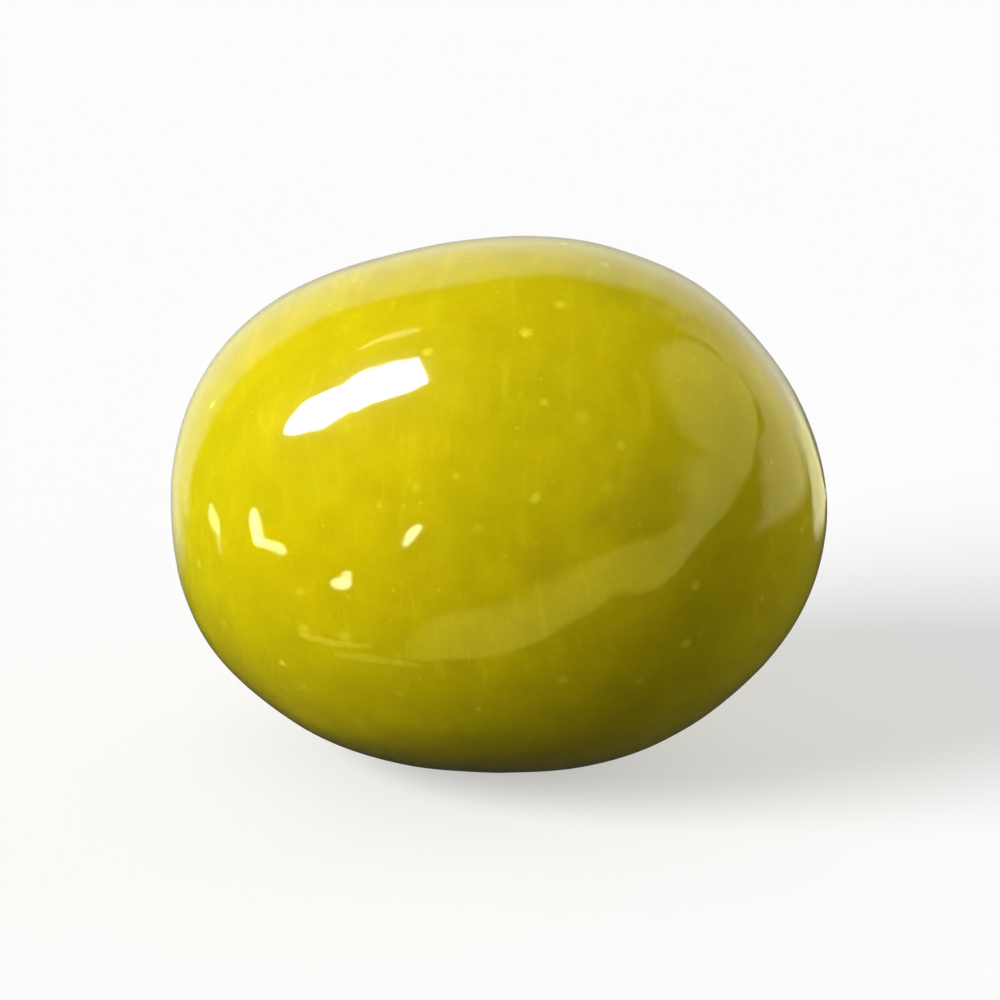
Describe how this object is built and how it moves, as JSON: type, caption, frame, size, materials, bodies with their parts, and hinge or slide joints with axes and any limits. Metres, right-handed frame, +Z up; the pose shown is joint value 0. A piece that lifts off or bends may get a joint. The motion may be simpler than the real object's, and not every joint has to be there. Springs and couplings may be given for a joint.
{
  "type": "green olive",
  "caption": "Plump oval cured green olive lying on its side, with a shallow stem pit at one end and a low point at the other, for food and table scenes.",
  "frame": {"origin": "on the surface that the olive rests on, under the middle of its bounding box", "axes": "+X along the long axis from the stem end to the tip, which is raised by about 4.5 degrees, +Z up, +Y to the back"},
  "size_m": [0.0266, 0.0224, 0.0217],
  "materials": {
    "skin": "glossy wet skin, yellow-green, mottled with fine pale specks, with a brown corky scar in the stem pit"
  },
  "bodies": {
    "root": {"olive": "skin"}
  },
  "joints": []
}
